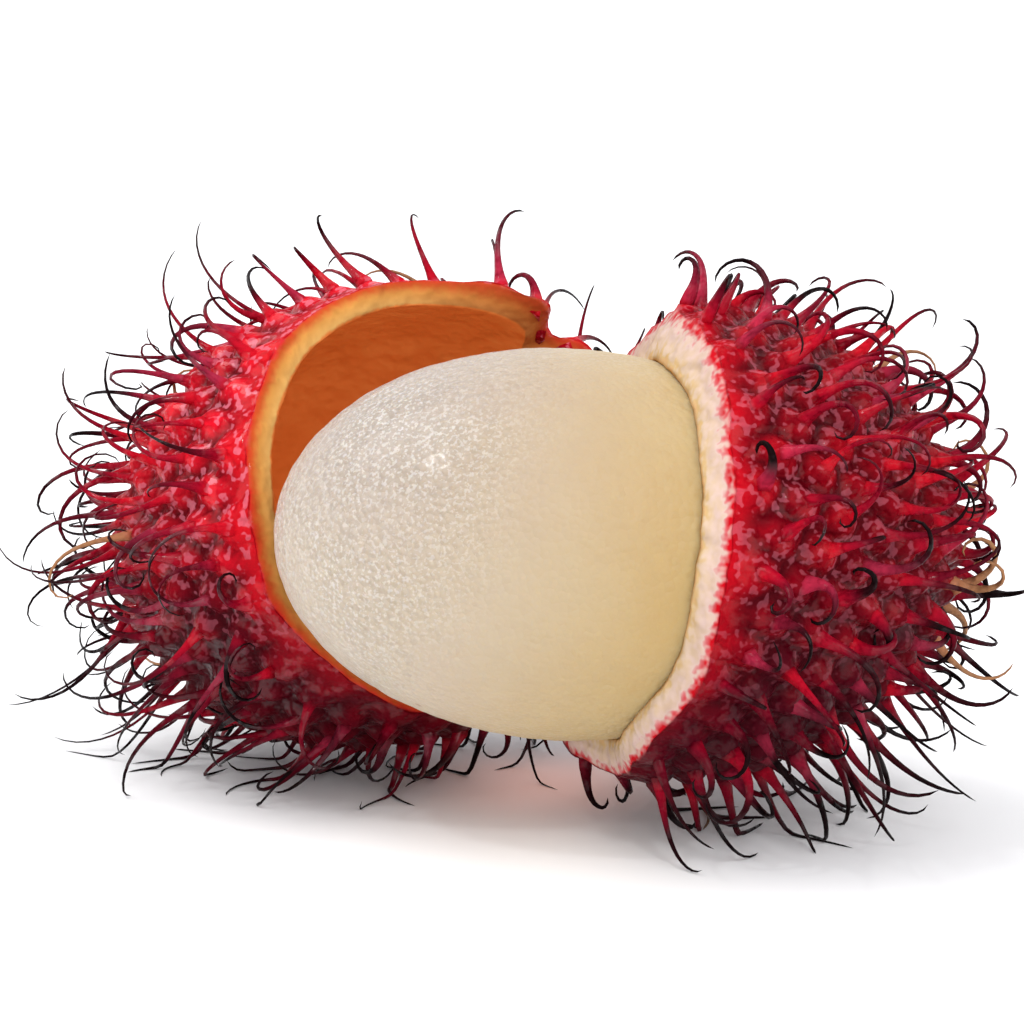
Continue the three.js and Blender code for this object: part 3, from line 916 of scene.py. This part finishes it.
def flesh_finish():
    material = bpy.data.materials.new("half-clear flesh")
    material.use_nodes = True
    tree = material.node_tree
    shader = tree.nodes["Principled BSDF"]
    place = node(tree, "ShaderNodeTexCoord").outputs["Object"]
    parts = node(tree, "ShaderNodeSeparateXYZ", {"Vector": place}).outputs
    blotches, specks = grained(tree, place, 60.0, 2900.0)
    low_right = minus(tree, parts["X"], times(tree, parts["Z"], 0.45))
    yellow = spread(tree, low_right, -0.03, 0.005)
    frosting_and_highlight = spread(tree, blotches, 0.1, 0.8, 0.4, 1.0)
    frosting_and_highlight = times(tree, spread(tree, low_right, -0.01, -0.028), frosting_and_highlight)
    colour = blend(tree, yellow, linear(184, 170, 161), linear(196, 166, 110))
    # Painted light: the flesh is made paler low on the left.
    lower = spread(tree, parts["Z"], 0.042, 0.022, 0.0, 0.9)
    under_left = times(tree, lower, minus(tree, 1.0, yellow))
    colour = blend(tree, under_left, colour, linear(214, 198, 178))
    colour = blend(tree, times(tree, blotches, 0.2), colour, linear(208, 194, 160))
    # Painted highlight: white sparkle specks at the upper left. The same mask also sets the coat and the
    # pearly bumps.
    painted_sparkle = times(tree, spread(tree, specks, 0.62, 0.86), 0.45)
    colour = blend(tree, times(tree, frosting_and_highlight, painted_sparkle), colour, linear(250, 248, 246))
    dots = node(tree, "ShaderNodeTexVoronoi", {"Vector": place, "Scale": 210.0, "Randomness": 1.0})
    brown = spread(tree, dots.outputs["Distance"], 0.09, 0.05)
    brown = times(tree, brown, spread(tree, parts["Z"], 0.02, 0.012, 0.0, 0.7))
    colour = blend(tree, brown, colour, linear(150, 96, 60))
    tree.links.new(colour, shader.inputs["Base Color"])
    rough = plus(tree, 0.4, times(tree, specks, 0.18))
    tree.links.new(rough, shader.inputs["Roughness"])
    tree.links.new(times(tree, frosting_and_highlight, 0.4), shader.inputs["Coat Weight"])
    shader.inputs["Coat Roughness"].default_value = 0.16
    shader.inputs["Specular IOR Level"].default_value = 0.3
    shader.inputs["Subsurface Weight"].default_value = 0.75
    shader.inputs["Subsurface Radius"].default_value = (1.0, 0.75, 0.45)
    shader.inputs["Subsurface Scale"].default_value = 0.0045
    pearls = node(tree, "ShaderNodeTexVoronoi", {"Vector": place, "Scale": 1500.0})
    soft = noise_of(tree, place, 170.0, 2.0, 0.5)
    pearly = times(tree, pearls.outputs["Distance"], plus(tree, 0.12, frosting_and_highlight))
    relief = plus(tree, times(tree, pearly, -1.7), times(tree, soft, 0.7))
    bump = node(tree, "ShaderNodeBump", {"Strength": 0.6, "Distance": 0.0008, "Height": relief})
    tree.links.new(bump.outputs["Normal"], shader.inputs["Normal"])
    return material


flesh.data.materials.clear()
flesh.data.materials.append(flesh_finish())
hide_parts("flesh")
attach(flesh, "root")


# The table is a plain white sheet under soft light from the upper left, with a weaker light in front.
bpy.data.objects.remove(spine_mould)
bpy.ops.mesh.primitive_plane_add(size=8, location=(0, 0, 0))
table = bpy.context.object
table.name = "table"
table_paint = bpy.data.materials.new("white sheet")
table_paint.use_nodes = True
table_shader = table_paint.node_tree.nodes["Principled BSDF"]
table_shader.inputs["Base Color"].default_value = (0.9, 0.9, 0.91, 1)
table_shader.inputs["Roughness"].default_value = 0.8
table_shader.inputs["Specular IOR Level"].default_value = 0.2
table.data.materials.append(table_paint)

world = bpy.data.worlds.new("white room")
bpy.context.scene.world = world
world.use_nodes = True
world.node_tree.nodes["Background"].inputs["Color"].default_value = (0.97, 0.98, 1, 1)
world.node_tree.nodes["Background"].inputs["Strength"].default_value = 0.8 * LIGHT_LEVEL

LOOK_AT = in_place(Vector((0, 0, 29.9)))


def lamp_at(name, kind, place, target, power, colour):
    light = bpy.data.lights.new(name, kind)
    light.energy = power
    light.color = colour
    lamp = bpy.data.objects.new(name, light)
    bpy.context.scene.collection.objects.link(lamp)
    lamp.location = place
    lamp.rotation_euler = (target - Vector(place)).to_track_quat("-Z", "Y").to_euler()
    return lamp


SOFT_LIGHTS = (
    ("upper left window", (-0.5, 0.08, 0.85), 1.1, (1, 1, 0.99), 38),
    ("front right wall", (0.55, -0.9, 0.75), 1.05, (1, 0.99, 0.98), 60),
)
for name, place, power, colour, softness in SOFT_LIGHTS:
    light = lamp_at(name, "SUN", place, LOOK_AT, power * LIGHT_LEVEL, colour)
    light.data.angle = math.radians(softness)
for number, place in enumerate(((-0.3, -0.25, 0.55), (0.1, -0.5, 0.5))):
    glint = lamp_at(f"glint {number + 1}", "AREA", place, LOOK_AT, 0.4, (1, 1, 1))
    glint.data.size = 0.03

# Some light passes through the half-clear flesh and falls on the table below it, warm from the rind
# around it, and the sheet sends some back up under the flesh's near end, so that the shadow is thin.
LIGHTS_BELOW = (
    ("light through the flesh", Vector((2, 16, 7)), Vector((2, 15, 0)), 0.0006, (1, 0.46, 0.34), 0.016),
    ("light under the flesh", Vector((11, -6, 8)), Vector((11, -6, 0)), 0.0003, (0.95, 0.97, 1), 0.018),
)
for name, place, target, power, colour, size in LIGHTS_BELOW:
    light = lamp_at(name, "AREA", in_place(place), in_place(target), power, colour)
    light.data.size = size
    light.visible_camera = False

CAMERA_DISTANCE = 384.4 * MM
CAMERA_ELEVATION = math.radians(12)
camera_data = bpy.data.cameras.new("camera")
camera_data.lens = 150
camera_data.sensor_width = 36
camera_data.clip_start = 0.01
camera = bpy.data.objects.new("camera", camera_data)
bpy.context.scene.collection.objects.link(camera)
toward = Vector((0, -math.cos(CAMERA_ELEVATION), math.sin(CAMERA_ELEVATION)))
camera.location = LOOK_AT + toward * CAMERA_DISTANCE
camera.rotation_euler = (math.pi / 2 - CAMERA_ELEVATION, 0, 0)
bpy.context.scene.camera = camera
bpy.context.scene.view_settings.view_transform = "Standard"
